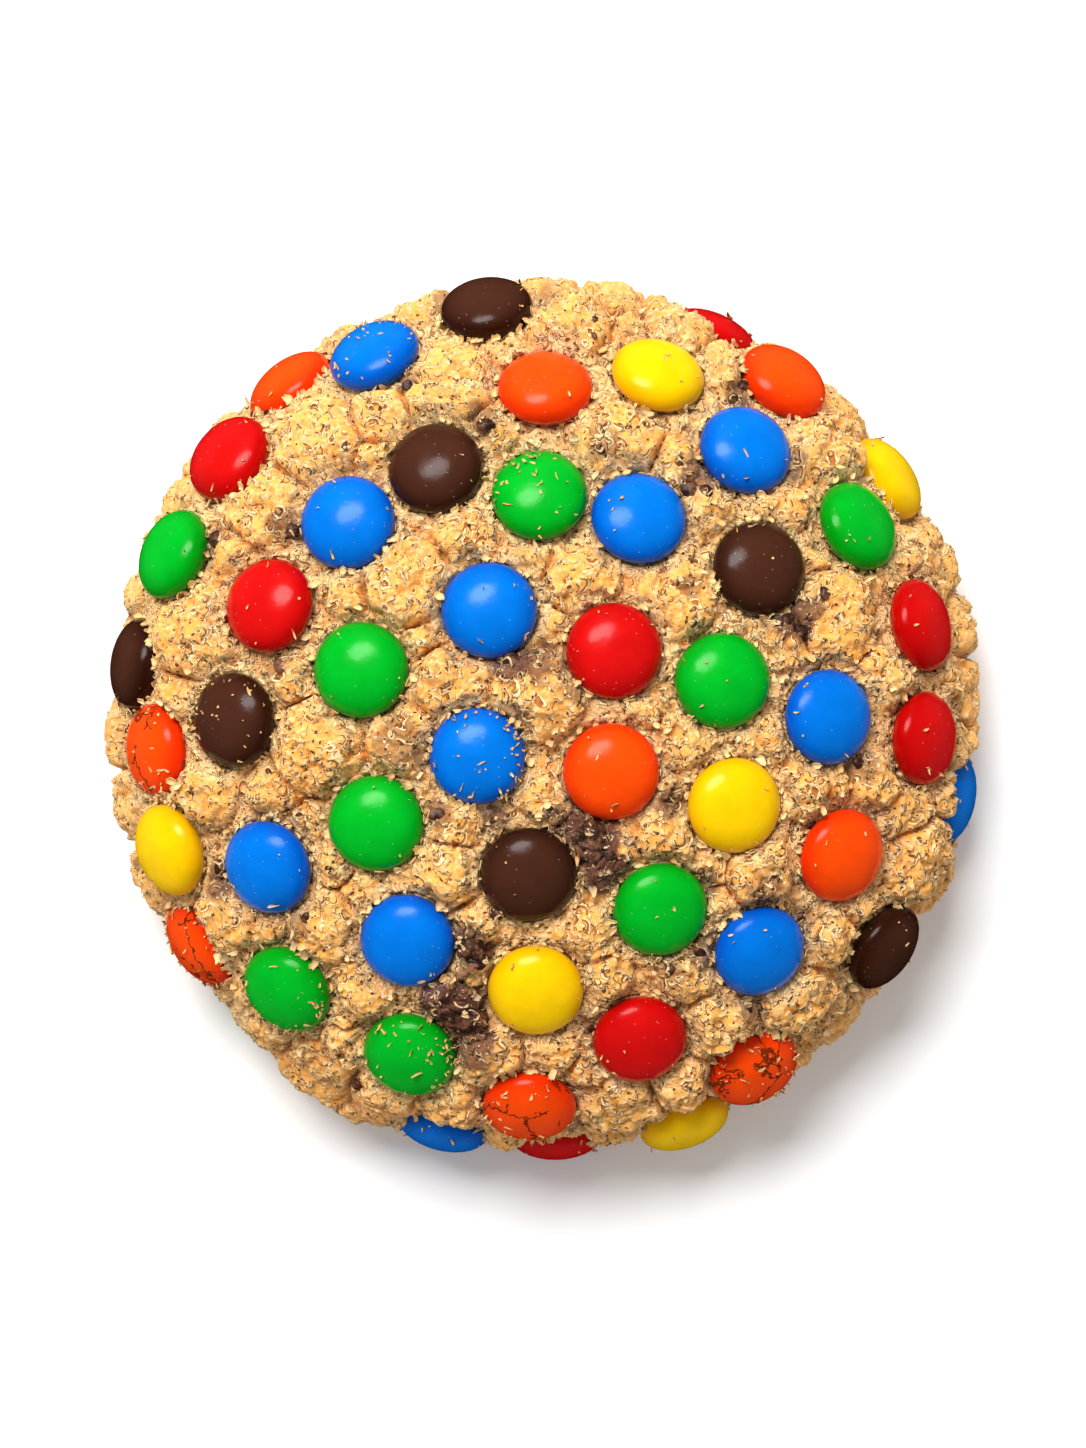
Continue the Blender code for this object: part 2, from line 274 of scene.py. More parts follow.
# Smooth bits of chocolate that show between the mounds: x, y and length
CHIPS = (
    (-8.3, 40.8, 2.6), (-35.7, 26, 2.6), (-46.4, 25.3, 2.4), (-19.3, 46.7, 1.8), (-28.1, 37.9, 1.1),
    (-39.7, 44.2, 2.2), (28.3, 47.1, 2.3), (26.7, 45.3, 1.6), (34.5, 35.4, 1.8), (20.4, 31.8, 2.4),
    (22.5, 31.6, 1.7), (39, 17.2, 2), (6.9, 56.5, 1), (6.9, 54, 1.2), (7.7, 37.2, 1.5),
    (-36.9, 7.1, 2.2), (-45.9, -21.5, 2.5), (-33.4, -28, 1.5), (-15.1, -13.4, 2.2), (-7.1, -14.3, 1.4),
    (-38.6, -7.7, 1), (-30.1, -21, 1), (17.3, -11.3, 1.8), (21.5, -32.7, 1.8), (17.3, -35.2, 1.6),
    (28.7, -41.1, 1.5), (6.6, -43.9, 1.2), (44.2, -6.6, 1.9), (36.1, -28.4, 1.3), (-6.7, -27.5, 2.2),
    (-4.6, 7.6, 2.6), (34, 13.4, 2.4), (-27, -52.5, 2.2),
)

# The sides of a cube: the way each faces, and the ways of its rows and columns
CUBE_SIDES = {
    "crown": ((0, 0, 1), (1, 0, 0), (0, 1, 0)),
    "right": ((1, 0, 0), (0, 1, 0), (0, 0, 1)),
    "far": ((0, 1, 0), (0, 0, 1), (1, 0, 0)),
    "left": ((-1, 0, 0), (0, 0, 1), (0, 1, 0)),
    "near": ((0, -1, 0), (1, 0, 0), (0, 0, 1)),
    "underside": ((0, 0, -1), (0, 1, 0), (1, 0, 0)),
}


def clamp(values):
    """The values held between 0 and 1."""
    return np.clip(values, 0, 1)


def bell(values, width):
    """1 at zero, falling away smoothly over the width."""
    return np.exp(-((values / width) ** 2))


def unit(vectors):
    """Each vector at length 1."""
    return vectors / np.linalg.norm(vectors, axis=-1, keepdims=True)


def square_to(vectors, ways):
    """Each vector less its part along its way, at length 1."""
    return unit(vectors - ways * np.einsum("ij,ij->i", vectors, ways)[:, None])


def lattice_draw(cell, seed, channel):
    """A repeatable draw from 0 to 1 for each integer cell."""
    mixed = np.full(len(cell), seed * SEED_PRIME + channel * CHANNEL_PRIME + DRAW_START, np.uint64)
    for column, prime in zip(cell.T, CELL_PRIMES):
        mixed ^= column.astype(np.uint64) * np.uint64(prime)
    for shift, factor in DRAW_STEPS:
        mixed ^= mixed >> np.uint64(shift)
        mixed *= np.uint64(factor)
    return (mixed & np.uint64(2**DRAW_BITS - 1)) / 2.0**DRAW_BITS


def cell_pattern(points, size, seed):
    """Distance to the nearest and second nearest scattered point, and the nearest one's cell."""
    scaled = points / size
    home = np.floor(scaled).astype(np.int64)
    first = np.full(len(points), np.inf)
    second = first.copy()
    owner = home.copy()
    for step in itertools.product((-1, 0, 1), repeat=3):
        cell = home + np.array(step)
        spot = np.column_stack([lattice_draw(cell, seed, c) for c in range(3)])
        gap = scaled - cell - spot
        distance = np.sqrt((gap * gap).sum(axis=1))
        closer = distance < first
        second = np.where(closer, first, np.minimum(second, distance))
        first = np.where(closer, distance, first)
        owner[closer] = cell[closer]
    return first * size, second * size, owner


def domes(points, size, fill, seed):
    """Height, 0 to 1, of domes about a size apart, whose radius is a fill of that size."""
    near = cell_pattern(points, size, seed)[0]
    return np.sqrt(clamp(1 - (near / (fill * size)) ** 2))


def cloud(points, size, seed):
    """Smooth noise from 0 to 1 with features about size across."""
    scaled = points / size
    home = np.floor(scaled).astype(np.int64)
    part = scaled - home
    part = part * part * (3 - 2 * part)
    total = np.zeros(len(points))
    for corner in itertools.product((0, 1), repeat=3):
        weight = np.prod(np.where(corner, part, 1 - part), axis=1)
        total += weight * lattice_draw(home + np.array(corner), seed, 0)
    return total


def section_outline():
    """Radius, height and outward normal along the section, from top centre to base centre."""
    turn = np.linspace(0.0, math.pi / 2, SECTION_STEPS)
    crown_r = WAIST_RADIUS * np.sin(turn) ** (2 / CROWN_POWER)
    crown_z = WAIST_HEIGHT + CROWN_RISE * np.cos(turn)
    tuck_r = BASE_RADIUS + (WAIST_RADIUS - BASE_RADIUS) * np.cos(turn)
    tuck_z = WAIST_HEIGHT * (1 - np.sin(turn))
    floor_r = np.linspace(BASE_RADIUS, 0.0, SECTION_STEPS)
    radius = np.concatenate([crown_r, tuck_r[1:], floor_r[1:]])
    height = np.concatenate([crown_z, tuck_z[1:], np.zeros(SECTION_STEPS - 1)])
    along = np.stack([np.gradient(radius), np.gradient(height)])
    along /= np.linalg.norm(along, axis=0)
    return radius, height, -along[1], along[0]


def skin_points(directions, underside_density):
    """Points and normals of the lump-free dough for unit directions, spread by area, the base sparser."""
    radius, height, normal_r, normal_z = section_outline()
    strips = (radius[1:] + radius[:-1]) * np.hypot(np.diff(radius), np.diff(height))
    strips[height[1:] <= 0] *= underside_density
    share = np.concatenate([[0.0], np.cumsum(strips) / strips.sum()])
    wanted = (1 - directions[:, 2]) / 2
    plan = directions[:, :2] / np.maximum(np.linalg.norm(directions[:, :2], axis=1, keepdims=True), 1e-9)
    r, z, nr, nz = (np.interp(wanted, share, values) for values in (radius, height, normal_r, normal_z))
    points = np.column_stack([plan * r[:, None] + DOUGH_OFFSET, z])
    return points, unit(np.column_stack([plan * nr[:, None], nz]))


def foot_share(points):
    """0 on the floor, rising to 1 where the relief has its full height."""
    return clamp(points[:, 2] / FOOT_BLEND)


def spread_directions(count):
    """Unit directions spread evenly over a sphere along a spiral."""
    step = np.arange(count) + 0.5
    z = 1 - 2 * step / count
    turn = math.pi * (1 + math.sqrt(5)) * step
    flat = np.sqrt(1 - z * z)
    return np.column_stack([flat * np.cos(turn), flat * np.sin(turn), z])


def gap_lumps(centres):
    """Centres, radii and heights of the lumps; the widest gap between the buttons is filled first."""
    points, _ = skin_points(spread_directions(LUMP_CANDIDATES), CAD_UNDERSIDE_DENSITY)
    points = points[points[:, 2] > FOOT_BLEND / 2]
    room = np.linalg.norm(points[:, None] - centres[None], axis=2).min(axis=1) - BUTTON_RADIUS
    draw = random.Random(LUMP_SEED)
    lumps = []
    while True:
        place = int(room.argmax())
        radius = min(room[place], LUMP_LARGEST)
        if radius < LUMP_SMALLEST:
            break
        highest = np.interp(points[place, 2], (SKIRT_TOP, CROWN_FOOT), (SKIRT_LUMP_HIGHEST, LUMP_HIGHEST))
        height = min(radius * LUMP_HEIGHT_SHARE, highest)
        height *= 1 + LUMP_UNEVENNESS * draw.uniform(-1, 1)
        lumps.append((points[place], radius * LUMP_SPREAD, height))
        room = np.minimum(room, np.linalg.norm(points - points[place], axis=1) - radius * LUMP_OVERLAP)
    return lumps


class Button:
    """One sugar-shelled button, measured from its CAD node: its centre and the axis of its disc."""

    def __init__(self, name, node):
        self.name = name
        self.short = name.removeprefix("button_")
        self.colour = name.split("_")[1]
        points = np.array([v.co for v in node.data.vertices]) / MM
        middle = points.mean(axis=0)
        axis = np.linalg.svd(points - middle, full_matrices=False)[2][2]
        outward = np.array([middle[0], middle[1], OUTWARD_LIFT])
        self.axis = axis * np.sign(axis @ outward)
        along = (points - middle) @ self.axis
        self.centre = middle + self.axis * (along.max() + along.min()) / 2

    def depth(self, points):
        """Below 1 inside the button, 1 on its shell."""
        away = points - self.centre
        along = away @ self.axis
        across = (away * away).sum(axis=1) - along * along
        return across / BUTTON_RADIUS**2 + (along / HALF_THICKNESS) ** 2


class Dough:
    """The dough's surface as a function: its points, relief and tone."""

    def __init__(self, buttons):
        self.buttons = buttons
        self.centres = np.array([b.centre for b in buttons]) - CENTRING
        self.lumps = gap_lumps(self.centres)

    def room(self, points):
        """Distance from each point to the rim of the nearest button, at most 3.25 mm."""
        nearest = np.full(len(points), FARTHEST_SQUARED)
        for centre in self.centres:
            nearest = np.minimum(nearest, ((points - centre) ** 2).sum(axis=1))
        return np.sqrt(nearest) - BUTTON_RADIUS

    def broad(self, points):
        """Rise of the broad forms, and how high on its lump and how near a crease each point is, 0 to 1."""
        dome = np.zeros(len(points))
        next_dome = dome.copy()
        for centre, radius, height in self.lumps:
            apart = ((points - centre) ** 2).sum(axis=1) / radius**2
            near = apart < 1
            rise = np.sqrt(1 - apart[near]) * height
            next_dome[near] = np.maximum(next_dome[near], np.minimum(dome[near], rise))
            dome[near] = np.maximum(dome[near], rise)
        kept = np.clip(MOAT_SHARE + self.room(points) / MOAT_WIDTH, MOAT_SHARE, 1)
        turn = np.degrees(np.arctan2(points[:, 1], points[:, 0]))
        swell = np.zeros(len(points))
        for middle, width, out in SWELLS:
            swell += out * bell((turn - middle + 180) % 360 - 180, width)
        swell *= clamp((SWELL_TOP - points[:, 2]) / SWELL_FADE)
        seam = SEAM_DEPTH * bell(points[:, 2] - SEAM_HEIGHT, SEAM_WIDTH)
        crest = clamp(dome * kept / LUMP_HIGHEST)
        crease = bell(dome - next_dome, CREASE_WIDTH) * clamp(dome)
        rise = dome * kept + swell - seam - CREASE_DEPTH * crease * kept
        return rise * foot_share(points), crest, crease

    def tone(self, points, crest, cracks_and_gap_shade, crease):
        """Linear colour of the crumb at each point, with painted shade in valleys and between nodules, and
        paler cream by the buttons, partly its own, partly painted light.
        """
        patch = cloud(points, PATCH_SIZE, PATCH_SEED)
        fleck = cloud(points, FLECK_SIZE, FLECK_SEED)
        room = self.room(points)
        colour = blend(GOLDEN, PALE, clamp(1.7 * patch - 0.55 + 0.5 * (fleck - 0.5)))
        colour = blend(colour, BROWNED, 0.6 * clamp(1.5 - 3 * patch))
        skirt = clamp((SEAM_HEIGHT - points[:, 2] + 5 * (patch - 0.5)) / 6.0)
        colour = blend(colour, SKIRT, 0.85 * skirt)
        # Painted shade in the valleys between the lumps and in their creases
        valley_shade = clamp(1 - crest / 0.22) * clamp(room / 1.5) * clamp(2.2 * patch - 0.4)
        valley_shade = np.maximum(valley_shade, crease * clamp(1.8 * patch - 0.1))
        colour = blend(colour, VALLEY_SHADE, 0.35 * valley_shade * (1 - skirt))
        seam = bell(points[:, 2] - SEAM_HEIGHT - 2.0, 2.2) * clamp(2.4 * patch - 0.5)
        colour = blend(colour, SEAM_BROWN, 0.7 * seam)
        # Paler cream near the buttons: partly the crumb's own tone there, partly painted light that lifts
        # the shade in the moats round them
        hollow = clamp(1.2 - room / 2.2 + 0.8 * (fleck - 0.5)) * (1 - 0.5 * skirt)
        colour = blend(colour, CREAM, 0.8 * hollow)
        # Painted shade in the gaps between the nodules, weaker near the buttons
        return blend(colour, NODULE_GAP_SHADE, 0.5 * cracks_and_gap_shade * (1 - 0.6 * hollow))

    def stained(self, points, colour):
        """The colour with melted chocolate in its places and a tint of the bright buttons' colours beside
        them.
        """
        fleck = cloud(points, STAIN_GRAIN, STAIN_SEED)
        for x, y, radius, strength in STAINS:
            away = np.hypot(points[:, 0] - x, points[:, 1] - y) / radius
            spot = clamp(2.4 * (1 - away) + 2.2 * (fleck - 0.42)) * clamp(4 * (1.1 - away))
            colour = blend(colour, STAIN, spot * strength * (points[:, 2] > STAIN_LOWEST))
        for button, centre in zip(self.buttons, self.centres):
            near = np.sqrt(((points - centre) ** 2).sum(axis=1)) - BUTTON_RADIUS
            share = clamp(1 - near / BUTTON_TINT_REACH) * clamp(2 * fleck - 0.5)
            colour = blend(colour, SHELLS[button.colour], BUTTON_TINT_SHARE * share * (button.colour != "brown"))
        return colour


def nodules(points):
    """Rise of the popcorn-like nodules, and how deep each point is between them, 0 to 1."""
    drift = np.column_stack([cloud(points, DRIFT_SIZE, seed) for seed in DRIFT_SEEDS]) - 0.5
    dome = domes(points + NODULE_DRIFT * drift, NODULE_SIZE, NODULE_FILL, NODULE_SEED)
    knob = domes(points + KNOB_DRIFT * drift, KNOB_SIZE, KNOB_FILL, KNOB_SEED)
    rise = NODULE_HEIGHT * (dome - DOME_MEAN) + KNOB_HEIGHT * (knob - DOME_MEAN)
    return rise * foot_share(points), np.maximum(clamp(1 - dome / 0.45), clamp(0.8 - knob / 0.5))


def blend(start, end, share):
    """Mixes two colours, or rows of colours, by a share for each row."""
    share = np.asarray(share)[:, None]
    return np.asarray(start) * (1 - share) + np.asarray(end) * share


def add_object(name, data):
    """An object of its own for a mesh, lamp or camera, in the scene."""
    made = bpy.data.objects.new(name, data)
    bpy.context.scene.collection.objects.link(made)
    return made


def mesh_piece(name, points, faces, colours=None, **shares):
    """A mesh object from arrays: points in millimetres, triangles or quads, linear colours, named shares."""
    mesh = bpy.data.meshes.new(name)
    corners = faces.shape[1]
    mesh.vertices.add(len(points))
    mesh.vertices.foreach_set("co", (points * MM).astype(np.float32).ravel())
    mesh.loops.add(faces.size)
    mesh.loops.foreach_set("vertex_index", faces.astype(np.int32).ravel())
    mesh.polygons.add(len(faces))
    mesh.polygons.foreach_set("loop_start", np.arange(0, faces.size, corners, dtype=np.int32))
    mesh.update(calc_edges=True)
    mesh.validate()
    mesh.shade_smooth()
    for key, values in shares.items():
        mesh.attributes.new(key, "FLOAT", "POINT").data.foreach_set("value", values.astype(np.float32))
    if colours is not None:
        layer = mesh.color_attributes.new("tone", "FLOAT_COLOR", "POINT")
        rgba = np.column_stack([colours, np.ones(len(colours))]).astype(np.float32)
        layer.data.foreach_set("color", rgba.ravel())
    return add_object(name, mesh)


def dress(piece, finish, slot, *nodes):
    """Gives a piece its material and rides it on the cookie's one body, in place of its CAD nodes."""
    piece.data.materials.append(finish)
    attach(piece, "root")
    if nodes:
        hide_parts(*nodes)


def cube_side(axes, grid):
    """Unit directions and quads of one side of a cube blown up to a sphere."""
    ticks = np.tan(np.linspace(-math.pi / 4, math.pi / 4, grid + 1))
    u, v = (side.ravel() for side in np.meshgrid(ticks, ticks, indexing="ij"))
    out, right, up = (np.array(a, float) for a in axes)
    directions = unit(out + u[:, None] * right + v[:, None] * up)
    start = (np.arange(grid)[:, None] * (grid + 1) + np.arange(grid)).ravel()
    quads = np.column_stack([start, start + grid + 1, start + grid + 2, start + 1])
    return directions, quads


class Petals:
    """Overlapping curled flakes of crumb, spread over the whole dough."""

    def __init__(self, count):
        draw = np.random.default_rng(PETAL_SEED)
        scatter = draw.normal(0, PETAL_SCATTER / math.sqrt(count), (count, 3))
        self.directions = unit(spread_directions(count) + scatter)
        base, _ = skin_points(self.directions, UNDERSIDE_DENSITY)
        self.skirt = clamp((PETAL_SKIRT_TOP - base[:, 2]) / PETAL_SKIRT_FADE)
        self.radius = PETAL_RADIUS * np.clip(draw.lognormal(0, 0.28, count), 0.5, 1.75)
        self.spin = draw.uniform(0, math.tau, count)
        self.squeeze = draw.uniform(0.6, 1.0, count) - 0.15 * self.skirt
        self.level = draw.uniform(-0.15, 0.15, count)
        self.tilt = draw.uniform(0.12, 0.42, count)
        self.cup = draw.uniform(-0.05, 0.32, count)
        self.crease = draw.uniform(0.0, 0.05, count)
        self.lobes = draw.integers(3, 8, count)
        self.lobe_turn = draw.uniform(0, math.tau, count)
        self.lobe_depth = draw.uniform(0.05, 0.28, count)
        self.shade = draw.uniform(0, 1, count)

    def ways(self, petal, shape, row, column):
        """Directions along and across each petal, flat on the surface under it."""
        r, c = (np.clip(place, 1, len(shape) - 2) for place in (row, column))
        upward = unit(np.cross(shape[r + 1, c] - shape[r - 1, c], shape[r, c + 1] - shape[r, c - 1]))
        level_way = unit(np.cross(upward, NEARLY_UP))
        turn = np.where(self.skirt[petal] > 0.4, 0.25 * (self.spin[petal] - math.pi), self.spin[petal])
        side = np.cross(upward, level_way)
        ahead = level_way * np.cos(turn)[:, None] + side * np.sin(turn)[:, None]
        return ahead, np.cross(upward, ahead)

    def laid_on(self, axes, surface, grid):
        """Height, rim closeness, slope, shade and fold of the top petal at each grid point of one side."""
        out, right, up = (np.array(a, float) for a in axes)
        facing = self.directions @ out
        seen = facing > PETAL_FACING
        places = [np.arctan2(self.directions[seen] @ way, facing[seen]) for way in (right, up)]
        row, column = (np.rint((p / (math.pi / 2) + 0.5) * grid).astype(int) for p in places)
        near = np.all([(p > -PETAL_REACH) & (p < grid + PETAL_REACH) for p in (row, column)], axis=0)
        petal = np.flatnonzero(seen)[near]
        row, column = row[near], column[near]
        shape = surface.reshape(grid + 1, grid + 1, 3)
        ahead, beside = self.ways(petal, shape, row, column)

        steps = np.arange(-PETAL_REACH, PETAL_REACH + 1)
        rows = row[:, None, None] + steps[:, None] + 0 * steps
        columns = column[:, None, None] + steps + 0 * steps[:, None]
        valid = (rows >= 0) & (rows <= grid) & (columns >= 0) & (columns <= grid)
        who = np.broadcast_to(np.arange(len(petal))[:, None, None], rows.shape)[valid]
        spot = (rows * (grid + 1) + columns)[valid]
        centre = shape[np.clip(row, 0, grid), np.clip(column, 0, grid)]
        offset = surface[spot] - centre[who]
        x, y = (np.einsum("ij,ij->i", offset, way[who]) for way in (ahead, beside))
        own = petal[who]
        x /= self.radius[own] * (1 + 0.5 * self.skirt[own])
        y /= self.radius[own] * self.squeeze[own]
        reach = 1 + self.lobe_depth[own] * np.cos(self.lobes[own] * np.arctan2(y, x) + self.lobe_turn[own])
        out_share = np.hypot(x, y) / reach
        inside = out_share < 1
        x, y, own, spot, out_share = (values[inside] for values in (x, y, own, spot, out_share))
        rise = self.level[own] + self.tilt[own] * x + self.cup[own] * out_share**2
        wave = np.cos(6 * y + 3 * x * x + self.lobe_turn[own])
        rise += self.crease[own] * wave
        top = np.full((grid + 1) ** 2, BARE_LEVEL)
        np.maximum.at(top, spot, rise)
        best = rise >= top[spot]
        spot, own = spot[best], own[best]
        fields = [top]
        for bare, values in zip(BARE_FIELDS, (out_share[best], x[best], self.shade[own], wave[best])):
            field = np.full(len(top), bare)
            field[spot] = values
            fields.append(field)
        return fields


def softened(values, grid, reach):
    """Mean of the values over a square of grid points round each one."""
    field = np.pad(values.reshape(grid + 1, grid + 1), reach + 1, mode="edge")
    for axis in (0, 1):
        total = np.cumsum(field, axis=axis)
        length = total.shape[axis]
        ahead = np.take(total, np.arange(2 * reach + 1, length), axis=axis)
        behind = np.take(total, np.arange(0, length - 2 * reach - 1), axis=axis)
        field = (ahead - behind) / (2 * reach + 1)
    return field[:grid + 1, :grid + 1].ravel()


def petal_tone_and_painted_light(colours, relief, petals, grid):
    """The colours, with painted shade in hollows and crevices and painted light on swells and the lips of
    petals.
    """
    top, rim, slope, shade, fold = petals
    colours = colours * (0.97 + 0.06 * shade)[:, None]
    swell = relief - softened(relief, grid, BROAD_REACH)
    # Painted shade in the hollows and painted light on the swells
    colours = blend(colours, colours * SHADED, np.clip(-swell / 0.8 - 0.25, 0, 0.3))
    colours = blend(colours, PALE, np.clip(swell - 0.1, 0, 0.35))
    above = top - softened(top, grid, FINE_REACH)
    # Painted shade in the crevices between petals
    colours = blend(colours, colours * SHADED, np.clip(-6 * above - 0.8, 0, 0.3))
    colours = blend(colours, CREVICE_SHADE, np.clip(-9 * above - 2.2, 0, 0.8))
    # Painted highlight on the lips of petals, the crests of their folds and where they stand proud
    lip = clamp((rim - 0.80) / 0.12) * np.clip(0.2 + 1.2 * slope, 0, 0.7)
    lip = np.maximum(lip, np.clip((fold - 0.8) / 0.2, 0, 0.3))
    lip = np.maximum(lip, clamp(5.0 * above - 0.4))
    return blend(colours, RIDGE_HIGHLIGHT, 0.7 * lip), clamp((-above - 0.38) / 0.16)


def make_skin(dough, petals, finish, box):
    """The dough's skin, in six pieces, less what lies inside a button.

    Returns each point's place, normal, gap to the nearest shell, that button's number, colour and height on
    its lump, for all sides but the underside.
    """
    laid = []
    for side, axes in CUBE_SIDES.items():
        grid = UNDERSIDE_GRID if side == "underside" else SKIN_GRID
        directions, quads = cube_side(axes, grid)
        base, normals = skin_points(directions, UNDERSIDE_DENSITY)
        rise, crest, crease = dough.broad(base)
        # How deep each point lies between the nodules; the colour is darkened by it as painted shade
        knob, cracks_and_gap_shade = nodules(base)
        relief = rise + knob
        points = base + normals * relief[:, None]
        colours = dough.tone(base, crest, cracks_and_gap_shade, crease)
        if side != "underside":
            uppermost = petals.laid_on(axes, points, grid)
            points += normals * (uppermost[0] * foot_share(base))[:, None]
            colours, deepest_crevice_shade = petal_tone_and_painted_light(colours, relief, uppermost, grid)
            # Painted shade: the deepest crevices between the petals darkened nearly to black
            colours = blend(dough.stained(base, colours), PORE, 0.8 * deepest_crevice_shade)
        points += CENTRING
        gap = np.array([np.sqrt(button.depth(points)) - 1 for button in dough.buttons])
        nearest = gap.argmin(axis=0)
        gap = gap.min(axis=0)
        cleft = bell(gap * BUTTON_RADIUS, CLEFT_WIDTH)
        points -= normals * (CLEFT_DEPTH * cleft)[:, None]
        # Painted shade: the crumb darkened in the cleft round each button
        colours = colours * (1 - 0.4 * cleft[:, None])
        quads = quads[(gap > HIDDEN_GAP)[quads].any(axis=1)]
        used, quads = np.unique(quads, return_inverse=True)
        quads = quads.reshape(-1, 4)
        points = np.clip(points, *box)
        fan = clamp(1.2 - dough.room(base) / 2.2)[used]
        flaky = np.clip((base[used, 2] - SKIRT_TOP) / (CROWN_FOOT - SKIRT_TOP), PLAIN_SHARE, 1)
        piece = mesh_piece(f"dough_{side}", points[used], quads, colours[used], fan=fan, flaky=flaky)
        dress(piece, finish, "dough", "dough")
        if side != "underside":
            laid.append((points, normals, gap, nearest, colours, crest))
    return [np.concatenate(part) for part in zip(*laid)]


def flake_sheet(count, rows, draw):
    """Local points of torn, curled flakes: along X from 0 to 1, across Y, in two layers that close."""
    t = np.linspace(0, 1, rows)[:, None]
    across = np.array([-1.0, 0.0, 1.0])
    width = np.interp(t, (0, 0.35, 0.75, 1), (0.8, 1.0, 0.85, 0.45))
    width = width * (1 + draw.normal(0, 0.22, (count, rows, 3)))
    x = t + draw.normal(0, 0.07, (count, rows, 3))
    y = 0.5 * across * width
    curl = draw.uniform(-0.1, 0.7, (count, 1, 1))
    trough = draw.uniform(-0.15, 0.4, (count, 1, 1))
    z = curl * t**2 + trough * across**2 + draw.normal(0, 0.04, (count, rows, 3))
    top = np.stack([x, y, z], axis=3).reshape(count, rows * 3, 3)
    thick = draw.uniform(0.08, 0.2, (count, 1))
    low = top.copy()
    low[:, :, 2] -= thick
    return np.concatenate([top, low], axis=1)


def triangles(*corners):
    """Triangles from sets of three arrays, one for each corner."""
    return np.concatenate([np.column_stack(three) for three in corners])


def sheet_faces(count, rows):
    """Triangles of every flake sheet: both layers and the wall round them."""
    cell = (np.arange(rows - 1)[:, None] * 3 + np.arange(2)).ravel()
    upper = triangles((cell, cell + 3, cell + 4), (cell, cell + 4, cell + 1))
    size = rows * 3
    lower = upper[:, ::-1] + size
    left = np.arange(rows) * 3
    ring = np.concatenate([[1], left + 2, [size - 2], left[::-1]])
    after = np.roll(ring, -1)
    wall = triangles((ring, ring + size, after), (after, ring + size, after + size))
    one = np.concatenate([upper, lower, wall])
    return (one[None] + (np.arange(count) * 2 * size)[:, None, None]).reshape(-1, 3)


def sheet_colours(base, rows, draw):
    """Colours of flake sheets: pale with painted highlight at the tip and edges, their own tone at the root,
    shaded below.
    """
    count = len(base)
    t = np.linspace(0, 1, rows)[:, None]
    edge = np.clip(0.25 + 0.6 * t + 0.35 * np.abs(np.arange(3) - 1), 0, 1).ravel()
    strength = draw.uniform(0.3, 0.9, (count, 1)) * edge
    top = base[:, None] * (1 - strength[:, :, None]) + np.array(RIDGE_HIGHLIGHT) * strength[:, :, None]
    return np.concatenate([top, 0.8 * top], axis=1).reshape(-1, 3)


def clear_of_shell(placed, centres, axes):
    """Moves the upper and lower points of each flake out of its button."""
    away = placed - centres[:, None]
    along = np.einsum("nkj,nj->nk", away, axes)
    across = (away**2).sum(axis=2) - along**2
    depth = np.sqrt(across / BUTTON_RADIUS**2 + (along / HALF_THICKNESS) ** 2)
    layer = np.repeat(SHELL_CLEARANCE, placed.shape[1] // 2)
    return centres[:, None] + away * np.maximum(layer / depth, 1)[:, :, None]


def discs(buttons, owner):
    """The centre and the axis of the button that each flake lies at."""
    return np.array([b.centre for b in buttons])[owner], np.array([b.axis for b in buttons])[owner]


def lay_flakes(name, turns, local, root, base, draw, finish, box, shells=None):
    """A piece of flakes, each turned, set on its root and coloured from its base, clear of the shells."""
    rows = local.shape[1] // 6
    placed = np.einsum("nij,nkj->nki", turns, local) + root[:, None]
    if shells:
        placed = clear_of_shell(placed, *shells)
    points = np.clip(placed.reshape(-1, 3), *box)
    piece = mesh_piece(name, points, sheet_faces(len(local), rows), sheet_colours(base, rows, draw))
    dress(piece, finish, "dough")


def make_fringe(dough, laid, finish, box):
    """Torn flakes of crumb at the rim of each button that lap over its shell."""
    points, _, gap, nearest, colours, _ = laid
    draw = np.random.default_rng(FRINGE_SEED)
    chosen = []
    for number in range(len(dough.buttons)):
        near = np.flatnonzero((nearest == number) & (gap > 0.0) & (gap < FRINGE_GAP))
        share = draw.uniform(0.5, 1.5)
        chosen.append(draw.choice(near, min(len(near), int(FRINGE_FLAKES * share)), replace=False))
    chosen = np.concatenate(chosen)
    count, root = len(chosen), points[chosen]
    centres, axes = discs(dough.buttons, nearest[chosen])
    inward = square_to(centres - root, axes)
    sideways = np.cross(axes, inward)
    lean = inward * draw.uniform(0.2, 1.0, (count, 1)) + sideways * draw.normal(0, 0.7, (count, 1))
    x = unit(lean + axes * draw.uniform(0.1, 0.7, (count, 1)))
    y = square_to(np.cross(axes, x) + 0.3 * draw.normal(0, 1, (count, 3)), x)
    local = flake_sheet(count, FLAKE_ROWS, draw)
    local[:, :, 0] *= draw.uniform(0.7, 1.6, (count, 1))
    local[:, :, 1] *= draw.uniform(0.6, 1.4, (count, 1))
    turns = np.stack([x, y, np.cross(x, y)], axis=2)
    base = blend(np.clip(colours[chosen] * 1.3, 0, 0.9), PALE, np.full(count, 0.4))
    lay_flakes("fringe_flakes", turns, local, root, base, draw, finish, box, (centres, axes))


